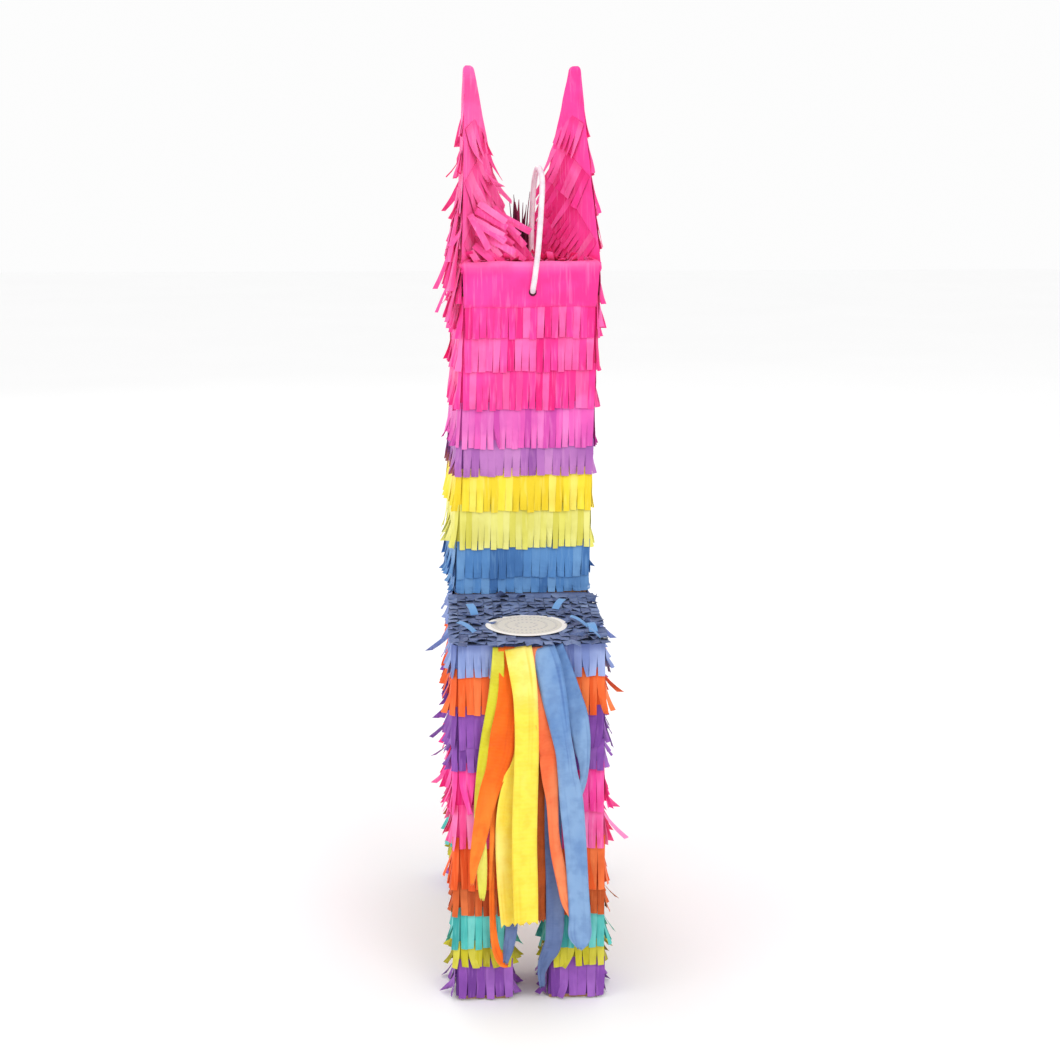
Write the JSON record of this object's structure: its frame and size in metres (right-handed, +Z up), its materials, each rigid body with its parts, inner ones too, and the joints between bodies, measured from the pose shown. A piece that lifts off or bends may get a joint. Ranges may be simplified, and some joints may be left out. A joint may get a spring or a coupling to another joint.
{
  "type": "pinata",
  "caption": "Box-built standing llama pinata: card panels under fringed tissue bands, hollow ears, hanging loop, filling flap under a sticker, paper tail.",
  "frame": {"origin": "on the ground, under the middle of the whole object", "axes": "+Z up, the animal faces +Y, its rump and tail are at -Y, +X is its right-hand side seen from behind"},
  "size_m": [0.099, 0.2902, 0.549],
  "materials": {
    "cardboard": "matte",
    "pink_tissue": "matte",
    "violet_tissue": "matte",
    "purple_tissue": "matte",
    "orange_tissue": "matte",
    "lavender_tissue": "matte",
    "blue_tissue": "matte",
    "slate_tissue": "matte",
    "lime_tissue": "matte",
    "yellow_tissue": "matte",
    "orange_crepe": "matte",
    "blue_crepe": "matte",
    "yellow_crepe": "matte",
    "salmon_crepe": "matte",
    "lime_crepe": "matte",
    "white_paper": "satin",
    "black_paper": "satin",
    "loop_plastic": "satin"
  },
  "bodies": {
    "shell": {"body_side_left": "cardboard", "body_side_right": "cardboard", "rump_panel": "cardboard", "chest_panel": "cardboard", "belly_panel": "cardboard", "back_panel": "cardboard", "leg_rear_left": "cardboard", "leg_front_left": "cardboard", "leg_rear_right": "cardboard", "leg_front_right": "cardboard", "neck_rear_panel": "cardboard", "neck_front_panel": "cardboard", "neck_side_left": "cardboard", "neck_side_right": "cardboard", "head_top_panel": "cardboard", "muzzle_side_left": "cardboard", "muzzle_side_right": "cardboard", "chin_panel": "cardboard", "nose_panel": "cardboard", "bridge_panel": "cardboard", "ear_card_left": "cardboard", "ear_card_right": "cardboard", "leg_fringe_rear_left": "orange_tissue", "leg_fringe_front_left": "orange_tissue", "leg_fringe_rear_right": "orange_tissue", "leg_fringe_front_right": "orange_tissue", "body_fringe_pink": "pink_tissue", "body_fringe_purple": "purple_tissue", "body_fringe_orange": "orange_tissue", "body_fringe_lavender": "lavender_tissue", "neck_fringe_blue": "blue_tissue", "neck_fringe_lime": "lime_tissue", "neck_fringe_yellow": "yellow_tissue", "neck_fringe_purple": "purple_tissue", "neck_fringe_violet": "violet_tissue", "back_fringe": "slate_tissue", "head_tissue": "pink_tissue", "ear_tissue_left": "pink_tissue", "ear_tissue_right": "pink_tissue", "forelock": "pink_tissue", "eye_left": "black_paper", "eye_right": "black_paper", "nostril_left": "black_paper", "nostril_right": "black_paper", "tail_tab": "slate_tissue"},
    "filling_flap": {"fill_flap": "slate_tissue", "fill_sticker": "white_paper"},
    "loop": {"hanging_loop": "loop_plastic", "loop_knot_rear": "loop_plastic", "loop_knot_top": "loop_plastic"},
    "tail_inner": {"streamer_orange_inner": "orange_crepe", "streamer_blue_inner": "blue_crepe", "streamer_yellow_inner": "yellow_crepe", "streamer_rust_inner": "salmon_crepe"},
    "tail_outer": {"streamer_lime_outer": "lime_crepe", "streamer_salmon_outer": "salmon_crepe", "streamer_yellow_outer": "yellow_crepe", "streamer_narrow_outer": "blue_crepe", "streamer_blue_outer": "blue_crepe"}
  },
  "joints": [
    {"name": "filling_flap_hinge", "type": "hinge", "parent": "shell", "child": "filling_flap", "pos_m": [-0.00121, -0.07097, 0.2218], "axis": [-1, 0, 0], "range_deg": [0, 110]},
    {"name": "loop_tilt", "type": "hinge", "parent": "shell", "child": "loop", "pos_m": [0.00644, -0.00839, 0.413], "axis": [0.0022, 0.9076, 0.4198], "range_deg": [-25, 10]},
    {"name": "tail_outer_swing", "type": "hinge", "parent": "shell", "child": "tail_outer", "pos_m": [-0.00121, -0.14027, 0.219], "axis": [-1, 0, 0], "range_deg": [0, 70]},
    {"name": "tail_inner_swing", "type": "hinge", "parent": "shell", "child": "tail_inner", "pos_m": [-0.00121, -0.13627, 0.219], "axis": [-1, 0, 0], "range_deg": [0, 42]}
  ],
  "couplings": [
    {"joint": "tail_inner_swing", "follows": "tail_outer_swing", "ratio": 0.6}
  ]
}
